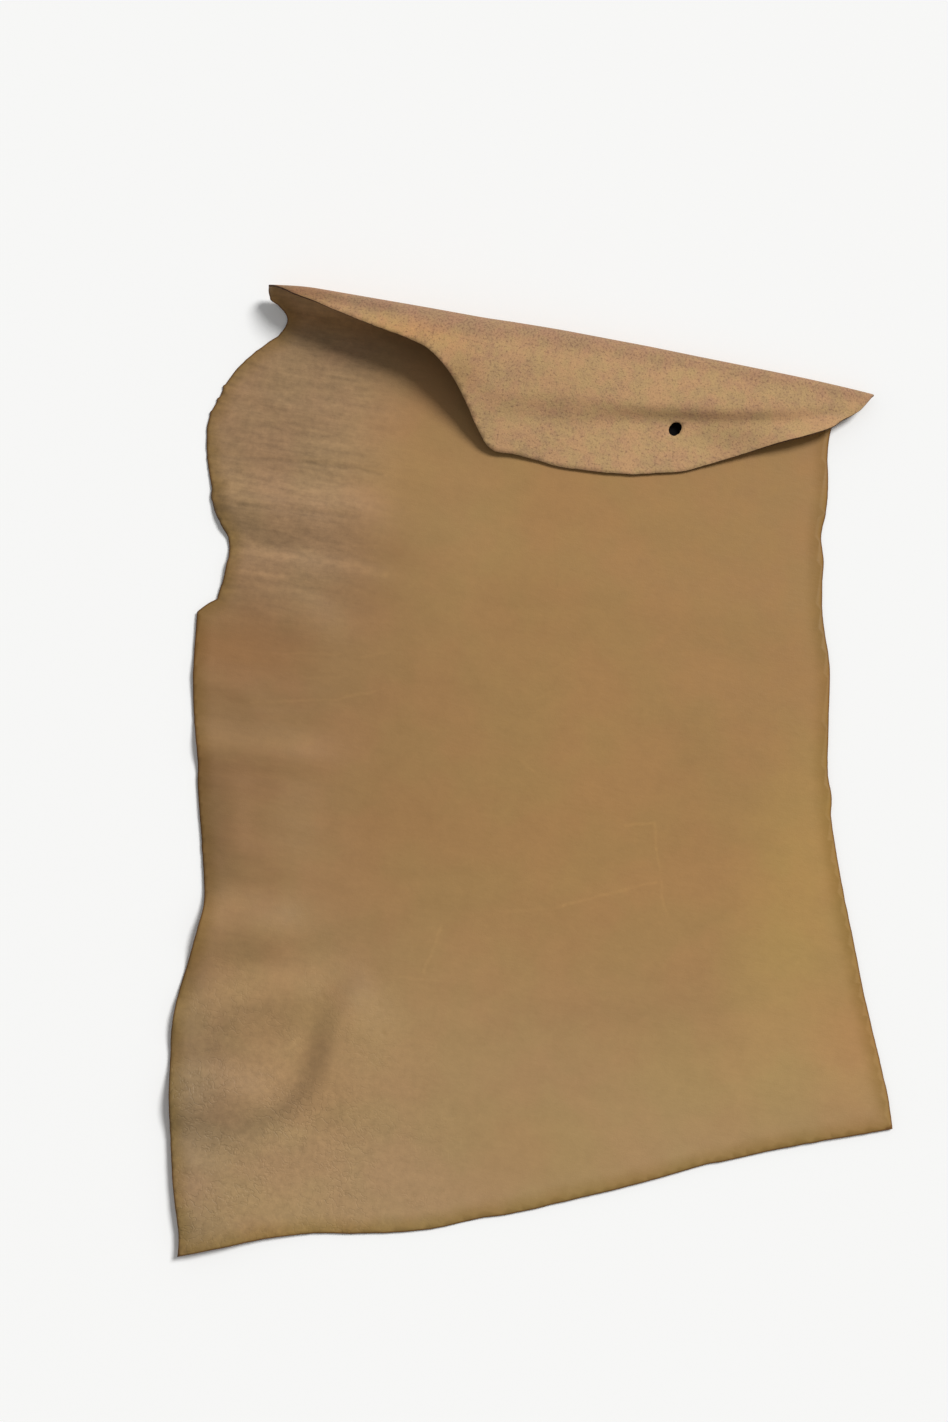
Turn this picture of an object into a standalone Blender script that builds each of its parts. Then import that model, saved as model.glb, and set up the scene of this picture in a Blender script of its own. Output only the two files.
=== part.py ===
"""A leather hide that lies grain side up, its top edge folded over so that the flap shows the flesh side.

Metres, +Z up. X runs along the fold and Y from the hide's lower edge up to the fold. The hide lies on z = 0,
and the origin is the middle of its box, at that height.

The hide is drawn flat, as it was cut, and each point of that drawing is then carried round the fold. In
the tables x is the place along the fold from the middle of the hide's width, and y is 0 at the fold's outer
line, negative on the body and positive on the flap. The tables are in the hide's own frame before the origin
is moved to the middle of the box.
"""

import math
from collections import namedtuple

import bpy
import numpy as np
from mathutils.geometry import delaunay_2d_cdt

THICKNESS = 0.0018
LAYER_MIDDLE = THICKNESS / 2
BOX_MIDDLE = (-0.0005, -0.4440)

# Mesh spacing: the body in both directions, and the steps over the bend and along the flap
CELL = 0.012
PLAIN_CELLS = 4  # the level parts of the body have a point at every fourth cell
BEND_STEPS = 12
FLAP_STEP = 0.005
RIM_STEP = 0.012
CLEAR_OF_RIM = 0.5  # grid points stay this share of a cell away from the cut edge
POINTS_PER_KNOT = 40  # close points on a smooth side, for each point of its table
PROFILE_PIECES = 24  # pieces over which the flap's slope is added up
STEEPEST = 0.95  # the flap's steepest slope, as height lost for each step along it
SAME_POINT = 1e-9
NORMAL_STEP = 1e-5
SHARP_EDGE = math.radians(50)

LEATHER_COLOUR = (0.30, 0.20, 0.12, 1)
LEATHER_ROUGHNESS = 0.55

# The hole that goes through the flap: a leaning ellipse on the flat drawing
HOLE_CENTRE = (0.064, 0.0845)
HOLE_HALF_SIZE = (0.0054, 0.0071)
HOLE_LEAN = math.radians(30)
HOLE_SIDES = 16

# The fold, from its left end to its right end. outer is the y of its outermost line and radius that of the
# bend's middle layer. Past the bend the flap is nearly level, then steps down from its shoulder to its foot
# and runs on to its free edge. Each pair is (distance past the top of the bend, height of the middle layer).
FoldStation = namedtuple("FoldStation", "x outer radius shoulder foot lower edge")
FOLD = (
    FoldStation(-0.345, -0.007, 0.0190, (0.030, 0.0360), (0.048, 0.0310), (0.068, 0.0250), (0.115, 0.0160)),
    FoldStation(-0.284, -0.001, 0.0200, (0.030, 0.0380), (0.048, 0.0330), (0.068, 0.0260), (0.115, 0.0160)),
    FoldStation(-0.197, -0.001, 0.0200, (0.030, 0.0370), (0.048, 0.0320), (0.068, 0.0250), (0.115, 0.0140)),
    FoldStation(-0.133, -0.001, 0.0187, (0.032, 0.0340), (0.052, 0.0280), (0.068, 0.0220), (0.115, 0.0080)),
    FoldStation(-0.098, 0.000, 0.0176, (0.046, 0.0280), (0.074, 0.0165), (0.090, 0.0115), (0.108, 0.0060)),
    FoldStation(-0.045, 0.001, 0.0152, (0.042, 0.0240), (0.074, 0.0110), (0.090, 0.0080), (0.110, 0.0040)),
    FoldStation(0.013, 0.001, 0.0123, (0.042, 0.0210), (0.066, 0.0095), (0.088, 0.0068), (0.114, 0.0040)),
    FoldStation(0.071, 0.000, 0.0103, (0.037, 0.0185), (0.057, 0.0075), (0.080, 0.0055), (0.104, 0.0040)),
    FoldStation(0.129, -0.001, 0.0084, (0.029, 0.0157), (0.047, 0.0072), (0.060, 0.0070), (0.076, 0.0085)),
    FoldStation(0.172, -0.002, 0.0071, (0.021, 0.0140), (0.036, 0.0095), (0.044, 0.0110), (0.054, 0.0155)),
    FoldStation(0.216, -0.004, 0.0060, (0.012, 0.0126), (0.019, 0.0118), (0.026, 0.0140), (0.040, 0.0180)),
    FoldStation(0.245, -0.006, 0.0054, (0.009, 0.0115), (0.018, 0.0115), (0.028, 0.0130), (0.040, 0.0145)),
)

# The cut edge, side by side and anticlockwise. Each side is a smooth curve, and sides meet at corners.
SIDES = (
    # left side, from the flap's corner down to the notch
    ((-0.329, 0.008), (-0.330, -0.004), (-0.328, -0.013)),
    (
        (-0.328, -0.013),
        (-0.319, -0.018),
        (-0.310, -0.027),
        (-0.310, -0.036),
        (-0.315, -0.045),
        (-0.324, -0.054),
        (-0.342, -0.075),
        (-0.353, -0.095),
        (-0.360, -0.118),
        (-0.364, -0.136),
        (-0.362, -0.158),
        (-0.356, -0.179),
        (-0.349, -0.199),
    ),
    (
        (-0.349, -0.199),
        (-0.348, -0.208),
        (-0.335, -0.230),
        (-0.325, -0.243),
        (-0.322, -0.264),
        (-0.325, -0.299),
    ),
    ((-0.325, -0.299), (-0.333, -0.305), (-0.341, -0.314)),
    # left side, down to the lower corner
    (
        (-0.341, -0.314),
        (-0.334, -0.372),
        (-0.325, -0.413),
        (-0.316, -0.444),
        (-0.310, -0.475),
        (-0.289, -0.556),
        (-0.285, -0.580),
        (-0.288, -0.616),
        (-0.293, -0.660),
        (-0.292, -0.700),
        (-0.281, -0.763),
        (-0.266, -0.827),
        (-0.252, -0.872),
        (-0.250, -0.889),
    ),
    # lower edge
    (
        (-0.250, -0.889),
        (-0.211, -0.874),
        (-0.174, -0.860),
        (-0.132, -0.848),
        (-0.096, -0.842),
        (-0.036, -0.828),
        (0.012, -0.809),
        (0.037, -0.801),
        (0.089, -0.779),
        (0.149, -0.753),
        (0.203, -0.727),
        (0.217, -0.722),
        (0.274, -0.699),
        (0.363, -0.667),
    ),
    # right side, up to the point where the flap hides it and on round the fold's pointed end
    (
        (0.363, -0.667),
        (0.353, -0.635),
        (0.322, -0.560),
        (0.299, -0.499),
        (0.282, -0.454),
        (0.264, -0.399),
        (0.262, -0.382),
        (0.255, -0.361),
        (0.248, -0.313),
        (0.241, -0.263),
        (0.228, -0.221),
        (0.222, -0.187),
        (0.220, -0.166),
        (0.214, -0.144),
        (0.215, -0.123),
        (0.213, -0.098),
        (0.207, -0.060),
        (0.209, -0.036),
        (0.222, -0.018),
        (0.240, 0.000),
    ),
    # the flap's free edge, back to the left corner
    (
        (0.240, 0.000),
        (0.230, 0.018),
        (0.217, 0.032),
        (0.204, 0.046),
        (0.181, 0.062),
        (0.154, 0.077),
        (0.128, 0.092),
        (0.102, 0.107),
        (0.081, 0.119),
        (0.056, 0.128),
        (0.028, 0.136),
        (-0.017, 0.142),
        (-0.037, 0.144),
        (-0.057, 0.143),
        (-0.081, 0.142),
        (-0.098, 0.142),
        (-0.109, 0.134),
        (-0.132, 0.100),
        (-0.146, 0.082),
        (-0.161, 0.069),
        (-0.177, 0.060),
        (-0.235, 0.048),
        (-0.279, 0.038),
        (-0.302, 0.031),
        (-0.319, 0.018),
        (-0.329, 0.008),
    ),
)

# Soft ridges that lift the body a little. Seen along the crest's route, left and right are how far the two
# slopes reach. rise and fall are the shares of the route over which the ridge starts and ends.
Ridge = namedtuple("Ridge", "left right height rise fall crest")
RIDGES = (
    # across the upper left side
    Ridge(0.034, 0.038, 0.0050, 0.1, 0.5, (
        (-0.350, -0.212),
        (-0.302, -0.209),
        (-0.265, -0.206),
        (-0.190, -0.201),
        (-0.150, -0.200),
    )),
    Ridge(0.018, 0.030, 0.0026, 0.1, 0.5, (
        (-0.345, -0.270),
        (-0.289, -0.260),
        (-0.234, -0.256),
        (-0.140, -0.257),
    )),
    Ridge(0.032, 0.042, 0.0020, 0.3, 0.5, (
        (-0.320, -0.284),
        (-0.262, -0.292),
        (-0.232, -0.307),
        (-0.190, -0.335),
    )),
    Ridge(0.026, 0.022, 0.0016, 0.1, 0.6, ((-0.350, -0.373), (-0.305, -0.377), (-0.250, -0.383))),
    Ridge(0.030, 0.026, 0.0038, 0.1, 0.6, (
        (-0.350, -0.441),
        (-0.303, -0.436),
        (-0.213, -0.427),
        (-0.150, -0.422),
    )),
    # down the middle of the left side, and across below it
    Ridge(0.110, 0.038, 0.0050, 0.3, 0.4, (
        (-0.288, -0.430),
        (-0.272, -0.470),
        (-0.260, -0.510),
        (-0.258, -0.570),
    )),
    Ridge(0.042, 0.040, 0.0062, 0.1, 0.6, (
        (-0.310, -0.607),
        (-0.253, -0.592),
        (-0.227, -0.588),
        (-0.200, -0.582),
        (-0.150, -0.575),
    )),
    # around the hollow on the lower left side
    Ridge(0.036, 0.044, 0.0044, 0.1, 0.4, (
        (-0.310, -0.690),
        (-0.262, -0.670),
        (-0.224, -0.655),
        (-0.190, -0.640),
        (-0.160, -0.626),
        (-0.110, -0.614),
    )),
    Ridge(0.038, 0.036, 0.0054, 0.1, 0.5, (
        (-0.320, -0.762),
        (-0.258, -0.748),
        (-0.222, -0.740),
        (-0.195, -0.728),
        (-0.172, -0.705),
    )),
    Ridge(0.080, 0.034, 0.0048, 0.4, 0.4, (
        (-0.118, -0.605),
        (-0.135, -0.640),
        (-0.144, -0.664),
        (-0.147, -0.690),
        (-0.156, -0.722),
        (-0.172, -0.755),
    )),
    # the raised lower left corner
    Ridge(0.160, 0.160, 0.0060, 0.3, 0.3, ((-0.400, -0.760), (-0.180, -0.980))),
)
POINTS_PER_BEND = 8  # close points on a crest, for each point of its table


def curve_slopes(knots, values):
    """Slopes at the knots of a smooth curve that never overshoots. The last axis runs over the knots."""
    gaps = np.diff(knots)
    steps = np.diff(values) / gaps
    before, after = steps[..., :-1], steps[..., 1:]
    weight_before = 2 * gaps[..., 1:] + gaps[..., :-1]
    weight_after = gaps[..., 1:] + 2 * gaps[..., :-1]
    same_way = before * after > 0
    safe_before = np.where(same_way, before, 1)
    safe_after = np.where(same_way, after, 1)
    mean = (weight_before + weight_after) / (weight_before / safe_before + weight_after / safe_after)
    return np.concatenate([steps[..., :1], np.where(same_way, mean, 0), steps[..., -1:]], axis=-1)


def read_curve(knots, values, slopes, places):
    """(value, slope) at places of the curves through knots. Every table has one row for each curve."""
    span = (places[..., None] >= knots[:, None, 1:-1]).sum(axis=-1)

    def at_span(table, offset):
        return np.take_along_axis(table, span + offset, axis=1)

    low, high = at_span(knots, 0), at_span(knots, 1)
    width = high - low
    t = (places - low) / width
    value_low, value_high = at_span(values, 0), at_span(values, 1)
    slope_low, slope_high = at_span(slopes, 0) * width, at_span(slopes, 1) * width
    value = (
        (1 + 2 * t) * (1 - t) ** 2 * value_low
        + t * (1 - t) ** 2 * slope_low
        + t**2 * (3 - 2 * t) * value_high
        + t**2 * (t - 1) * slope_high
    )
    slope = (
        6 * t * (1 - t) * (value_high - value_low)
        + (1 - t) * (1 - 3 * t) * slope_low
        + t * (3 * t - 2) * slope_high
    ) / width
    return value, slope


def smooth_curve(points, count):
    """Close points along a smooth curve through the given ones, a count of them for each."""
    points = np.array(points)
    lengths = np.linalg.norm(np.diff(points, axis=0), axis=1)
    knots = np.concatenate([[0], np.cumsum(lengths)])
    padded = np.vstack([2 * points[0] - points[1], points, 2 * points[-1] - points[-2]])
    spread = np.concatenate([[knots[0] - lengths[0]], knots, [knots[-1] + lengths[-1]]])
    slopes = (padded[2:] - padded[:-2]) / (spread[2:] - spread[:-2])[:, None]
    places = np.linspace(0, knots[-1], count * len(points))[None]
    sides = [read_curve(knots[None], points.T[i][None], slopes.T[i][None], places)[0][0] for i in (0, 1)]
    return np.column_stack(sides)


def along_fold(x):
    """The fold's sizes at places x along it: outer line, radius, and the flap's distances and heights."""
    stations = np.array([[s.x, s.outer, s.radius, *s.shoulder, *s.foot, *s.lower, *s.edge] for s in FOLD])
    places = np.clip(x, stations[0, 0], stations[-1, 0])[None]
    knots = stations[None, :, 0]
    columns = []
    for column in stations.T[1:]:
        values = column[None]
        columns.append(read_curve(knots, values, curve_slopes(knots, values), places)[0][0])
    outer, radius = columns[:2]
    return outer, radius, np.array(columns[2::2]).T, np.array(columns[3::2]).T


def bend_start(outer, radius):
    return outer - LAYER_MIDDLE - radius


def flap_profile(radius, distances, heights, past_top):
    """(height, way gone back) of the flap's middle layer at a distance past the top of the bend."""
    top = LAYER_MIDDLE + 2 * radius
    knots = np.column_stack([np.zeros_like(top), distances])
    values = np.column_stack([top, heights])
    slopes = curve_slopes(knots, values)
    slopes[:, 0] = 0  # level where it leaves the bend
    height = read_curve(knots, values, slopes, past_top[:, None])[0][:, 0]
    middles = (np.arange(PROFILE_PIECES) + 0.5) / PROFILE_PIECES
    steepness = read_curve(knots, values, slopes, past_top[:, None] * middles)[1]
    back = np.sqrt(1 - np.clip(steepness, -STEEPEST, STEEPEST) ** 2).mean(axis=1) * past_top
    return height, back


def soft_step(distance, reach):
    """1 at no distance, falling smoothly to 0 at the reach."""
    return 0.5 + 0.5 * np.cos(math.pi * np.clip(distance / reach, 0, 1))


def beside(points, route):
    """How far points lie from a route, which lie on its left, and how far along it the nearest place is."""
    lengths = np.linalg.norm(np.diff(route, axis=0), axis=1)
    gone = np.concatenate([[0], np.cumsum(lengths)]) / lengths.sum()
    distance = np.full(len(points), np.inf)
    on_left = np.zeros(len(points), bool)
    place = np.zeros(len(points))
    for start, end, share_start, share_end in zip(route, route[1:], gone, gone[1:]):
        way = end - start
        offset = points - start
        share = np.clip(offset @ way / (way @ way), 0, 1)
        leg_distance = np.linalg.norm(offset - share[:, None] * way, axis=1)
        nearer = leg_distance < distance
        distance = np.where(nearer, leg_distance, distance)
        on_left = np.where(nearer, way[0] * offset[:, 1] > way[1] * offset[:, 0], on_left)
        place = np.where(nearer, share_start + share * (share_end - share_start), place)
    return distance, on_left, place


def relief(flat):
    """How far the soft ridges lift points of the flat drawing."""
    lift = np.zeros(len(flat))
    for ridge in RIDGES:
        route = smooth_curve(ridge.crest, POINTS_PER_BEND)
        widest = max(ridge.left, ridge.right)
        near = (flat > route.min(axis=0) - widest) & (flat < route.max(axis=0) + widest)
        near = near.all(axis=1)
        distance, on_left, place = beside(flat[near], route)
        ends = soft_step(np.maximum(ridge.rise - place, 0), ridge.rise)
        ends *= soft_step(np.maximum(ridge.fall - (1 - place), 0), ridge.fall)
        lift[near] += ridge.height * ends * soft_step(distance, np.where(on_left, ridge.left, ridge.right))
    return lift


def folded(flat):
    """Where points (x, y) of the flat drawing lie once the hide is folded: the middle of its thickness."""
    x, y = flat[:, 0], flat[:, 1]
    outer, radius, distances, heights = along_fold(x)
    start = bend_start(outer, radius)
    past_start = np.maximum(y - start, 0)
    turn = np.minimum(past_start / radius, math.pi)
    past_top = np.maximum(past_start - math.pi * radius, 0)
    flap_height, back = flap_profile(radius, distances, heights, past_top)
    on_bend = LAYER_MIDDLE + radius * (1 - np.cos(turn))
    z = np.where(past_top > 0, flap_height, on_bend) + np.where(y < start, relief(flat), 0)
    way = np.minimum(y, start) + radius * np.sin(turn) - back
    return np.column_stack([x - BOX_MIDDLE[0], way - BOX_MIDDLE[1], z])


def grain_normals(flat):
    """Unit normals of the grain side at points of the flat drawing."""
    across = folded(flat + (NORMAL_STEP, 0)) - folded(flat - (NORMAL_STEP, 0))
    along = folded(flat + (0, NORMAL_STEP)) - folded(flat - (0, NORMAL_STEP))
    normals = np.cross(across, along)
    return normals / np.linalg.norm(normals, axis=1)[:, None]


def stretched(flat):
    """The flat drawing with the bend and the flap drawn out, so that mesh steps there are a whole cell."""
    outer, radius, _, _ = along_fold(flat[:, 0])
    past_start = flat[:, 1] - bend_start(outer, radius)
    half_turn = math.pi * radius
    on_bend = np.clip(past_start / half_turn, 0, 1) * BEND_STEPS * CELL
    on_flap = np.maximum(past_start - half_turn, 0) * CELL / FLAP_STEP
    return np.column_stack([flat[:, 0], np.minimum(past_start, 0) + on_bend + on_flap])


def cut_edge():
    """The hide's outline on the flat drawing, one step apart after stretching."""
    outline = []
    for side in SIDES:
        close = smooth_curve(side, POINTS_PER_KNOT)
        drawn = stretched(close)
        gone = np.concatenate([[0], np.cumsum(np.linalg.norm(np.diff(drawn, axis=0), axis=1))])
        steps = max(1, round(gone[-1] / RIM_STEP))
        places = np.arange(steps) * gone[-1] / steps
        outline += [(np.interp(p, gone, close[:, 0]), np.interp(p, gone, close[:, 1])) for p in places]
    return np.array(outline)


def hole_edge():
    turns = np.arange(HOLE_SIDES) * 2 * math.pi / HOLE_SIDES
    across = HOLE_HALF_SIZE[0] * np.cos(turns)
    along = HOLE_HALF_SIZE[1] * np.sin(turns)
    x = HOLE_CENTRE[0] + across * math.cos(HOLE_LEAN) - along * math.sin(HOLE_LEAN)
    y = HOLE_CENTRE[1] + across * math.sin(HOLE_LEAN) + along * math.cos(HOLE_LEAN)
    return np.column_stack([x, y])


def inside(points, outline):
    """Which points lie inside a closed outline."""
    following = np.roll(outline, -1, axis=0)
    x, y = points[:, :1], points[:, 1:]
    crosses = (outline[:, 1] > y) != (following[:, 1] > y)
    fall = np.where(following[:, 1] == outline[:, 1], 1, following[:, 1] - outline[:, 1])
    at = outline[:, 0] + (y - outline[:, 1]) / fall * (following[:, 0] - outline[:, 0])
    return (crosses & (x < at)).sum(axis=1) % 2 == 1


def distance_to(points, outline):
    """How far points lie from a closed outline."""
    way = np.roll(outline, -1, axis=0) - outline
    offset = points[:, None] - outline
    share = np.clip((offset * way).sum(axis=2) / (way**2).sum(axis=1), 0, 1)
    return np.linalg.norm(offset - share[..., None] * way, axis=2).min(axis=1)


def columns_across(outline):
    """The numbers of the grid's columns, from the outline's left to its right."""
    return np.arange(math.floor(outline[:, 0].min() / CELL), math.ceil(outline[:, 0].max() / CELL) + 1)


def body_points(outline):
    """Points a cell apart where the soft ridges lift the body, and further apart where it is level."""
    rows = np.arange(1, math.ceil(-outline[:, 1].min() / CELL))
    column, row = (side.ravel() for side in np.meshgrid(columns_across(outline), rows))
    x = column * CELL
    outer, radius, _, _ = along_fold(x)
    y = bend_start(outer, radius) - row * CELL
    points = np.column_stack([x, y])
    plain = (column % PLAIN_CELLS == 0) & (row % PLAIN_CELLS == 0)
    return points[plain | (relief(points) > 0)]


def fold_points(outline):
    """Points in rows along the fold, on the bend and the flap."""
    points = []
    columns = columns_across(outline) * CELL
    outer, radius, _, _ = along_fold(columns)
    flap_rows = math.ceil(outline[:, 1].max() / FLAP_STEP)
    for x, start, bend in zip(columns, bend_start(outer, radius), radius):
        points += [(x, start + math.pi * bend * step / BEND_STEPS) for step in range(BEND_STEPS + 1)]
        points += [(x, start + math.pi * bend + FLAP_STEP * step) for step in range(1, flap_rows + 1)]
    return np.array(points)


def triangles_of(outlines, points):
    """Triangles that fill the first outline, leave the others open, and use every point."""
    drawn = [stretched(outline) for outline in outlines]
    corners = np.vstack([*drawn, stretched(points)])
    edges = []
    first = 0
    for outline in outlines:
        count = len(outline)
        edges += [(first + i, first + (i + 1) % count) for i in range(count)]
        first += count
    _, _, faces, origins, _, _ = delaunay_2d_cdt([tuple(c) for c in corners], edges, [], 0, SAME_POINT)
    faces = np.array([[origins[corner][0] for corner in face] for face in faces])
    middles = corners[faces].mean(axis=1)
    kept = inside(middles, drawn[0])
    for hole in drawn[1:]:
        kept &= ~inside(middles, hole)
    return faces[kept]


def rim_of(faces):
    """The edges that only one triangle has, each in that triangle's direction."""
    ends = np.concatenate([faces[:, [0, 1]], faces[:, [1, 2]], faces[:, [2, 0]]])
    taken = {tuple(end) for end in ends}
    return [end for end in ends if (end[1], end[0]) not in taken]


def hide_mesh():
    """The hide's closed surface: grain skin, flesh skin, and the cut edges between them."""
    outlines = [cut_edge(), hole_edge()]
    grid = np.vstack([body_points(outlines[0]), fold_points(outlines[0])])
    drawn = stretched(grid)
    kept = inside(drawn, stretched(outlines[0]))
    for outline in outlines:
        kept &= distance_to(drawn, stretched(outline)) > CLEAR_OF_RIM * CELL
    grid = grid[kept]
    flat = np.vstack([*outlines, grid])
    grain = triangles_of(outlines, grid)
    middle = folded(flat)
    half = LAYER_MIDDLE * grain_normals(flat)
    count = len(flat)
    faces = [tuple(face) for face in grain] + [tuple(face[::-1] + count) for face in grain]
    faces += [(a, a + count, b + count, b) for a, b in rim_of(grain)]
    corners = np.vstack([middle + half, middle - half])
    mesh = bpy.data.meshes.new("leather_hide")
    mesh.from_pydata(corners.tolist(), [], [[int(corner) for corner in face] for face in faces])
    mesh.shade_smooth()
    mesh.set_sharp_from_angle(angle=SHARP_EDGE)
    return mesh


def leather():
    material = bpy.data.materials.new("leather")
    material.use_nodes = True
    shader = material.node_tree.nodes["Principled BSDF"]
    shader.inputs["Base Color"].default_value = LEATHER_COLOUR
    shader.inputs["Roughness"].default_value = LEATHER_ROUGHNESS
    shader.inputs["Metallic"].default_value = 0
    return material


def main():
    for thing in list(bpy.data.objects):
        bpy.data.objects.remove(thing)
    mesh = hide_mesh()
    mesh.materials.append(leather())
    hide = bpy.data.objects.new("leather_hide", mesh)
    bpy.context.scene.collection.objects.link(hide)


if __name__ == "__main__":
    main()
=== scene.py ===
"""The looks of a leather hide that lies grain side up, its top edge folded over so that the flap shows the
flesh side.

Metres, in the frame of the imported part. The hide is drawn flat, as it was cut, and each point of that
drawing is carried round the fold. In the tables x is the place along the fold, and y is 0 at the fold's
outer line, negative on the body and positive on the flap. The fold, the cut edge and the ridges have the
part's own sizes. Finer creases, waves and a worn edge are added to them here.
"""

import math
from collections import namedtuple

import bpy
import numpy as np
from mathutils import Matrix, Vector, kdtree
from mathutils.geometry import delaunay_2d_cdt


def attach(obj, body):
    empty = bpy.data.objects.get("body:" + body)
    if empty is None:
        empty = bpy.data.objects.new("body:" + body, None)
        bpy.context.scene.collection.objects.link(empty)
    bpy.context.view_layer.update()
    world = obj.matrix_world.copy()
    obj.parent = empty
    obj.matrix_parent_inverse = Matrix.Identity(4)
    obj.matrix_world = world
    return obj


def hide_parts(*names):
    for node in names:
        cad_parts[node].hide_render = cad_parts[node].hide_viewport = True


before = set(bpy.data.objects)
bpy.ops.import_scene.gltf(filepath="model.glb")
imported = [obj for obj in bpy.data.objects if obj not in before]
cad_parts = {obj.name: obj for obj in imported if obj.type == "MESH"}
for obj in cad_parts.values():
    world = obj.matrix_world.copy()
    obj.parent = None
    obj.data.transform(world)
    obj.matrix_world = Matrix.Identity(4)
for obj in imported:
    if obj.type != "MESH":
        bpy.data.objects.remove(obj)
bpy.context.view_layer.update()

THICKNESS = 0.0018
LAYER_MIDDLE = THICKNESS / 2
BOX_MIDDLE = (-0.0005, -0.4440)

# How finely the mesh is drawn. CELL is the step between points where the body is uneven, in both directions.
CELL = 0.0028
PLAIN_CELLS = 2  # the even parts have a point at every second cell
UNEVEN_END = -0.135  # the body is uneven all over to the left of this x
BEND_STEPS = 24
FLAP_STEP = 0.0030
RIM_STEP = 0.0030
CLEAR_OF_RIM = 0.7  # grid points stay this share of a cell away from the cut edge
SIDE_DETAIL = 40  # close points on a smooth side, for each point of its table
ROUTE_DETAIL = 8  # the same on the crest of a ridge and on a broad mark
PROFILE_PIECES = 24  # pieces over which the flap's slope is added up
STEEPEST = 0.95  # the flap's steepest slope, as height lost for each step along it
SAME_POINT = 1e-9
NORMAL_STEP = 1e-5
NOISE_CELLS = 64  # a noise repeats after this many cells
RIM_PARTS = 4  # parts of each step along the cut edge, where distances from that edge are measured
RIM_ROWS = 3  # faces between the two skins at the cut edge
RIM_BULGE = 0.00022

# The hole that goes through the flap: a leaning ellipse on the flat drawing
HOLE_CENTRE = (0.064, 0.0845)
HOLE_HALF_SIZE = (0.0054, 0.0071)
HOLE_LEAN = math.radians(30)
HOLE_SIDES = 36

# The fold, from its left end to its right end. outer is the y of its outermost line and radius that of the
# bend's middle layer. Past the bend the flap is nearly level, then steps down from its shoulder to its foot
# and runs on to its free edge. Each pair is (distance past the top of the bend, height of the middle layer).
Station = namedtuple("Station", "x outer radius shoulder foot lower edge")
FOLD = (
    Station(-0.345, -0.007, 0.0190, (0.030, 0.0360), (0.048, 0.0310), (0.068, 0.0250), (0.115, 0.0160)),
    Station(-0.284, -0.001, 0.0200, (0.030, 0.0380), (0.048, 0.0330), (0.068, 0.0260), (0.115, 0.0160)),
    Station(-0.197, -0.001, 0.0200, (0.030, 0.0370), (0.048, 0.0320), (0.068, 0.0250), (0.115, 0.0140)),
    Station(-0.133, -0.001, 0.0187, (0.032, 0.0340), (0.052, 0.0280), (0.068, 0.0220), (0.115, 0.0080)),
    Station(-0.098, 0.000, 0.0176, (0.046, 0.0280), (0.074, 0.0165), (0.090, 0.0115), (0.108, 0.0060)),
    Station(-0.045, 0.001, 0.0152, (0.042, 0.0240), (0.074, 0.0110), (0.090, 0.0080), (0.110, 0.0040)),
    Station(0.013, 0.001, 0.0123, (0.042, 0.0210), (0.066, 0.0095), (0.088, 0.0068), (0.114, 0.0040)),
    Station(0.071, 0.000, 0.0103, (0.037, 0.0185), (0.057, 0.0075), (0.080, 0.0055), (0.104, 0.0040)),
    Station(0.129, -0.001, 0.0084, (0.029, 0.0157), (0.047, 0.0072), (0.060, 0.0070), (0.076, 0.0085)),
    Station(0.172, -0.002, 0.0071, (0.021, 0.0140), (0.036, 0.0095), (0.044, 0.0110), (0.054, 0.0155)),
    Station(0.216, -0.004, 0.0060, (0.012, 0.0126), (0.019, 0.0118), (0.026, 0.0140), (0.040, 0.0180)),
    Station(0.245, -0.006, 0.0054, (0.009, 0.0115), (0.018, 0.0115), (0.028, 0.0130), (0.040, 0.0145)),
)

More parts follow.
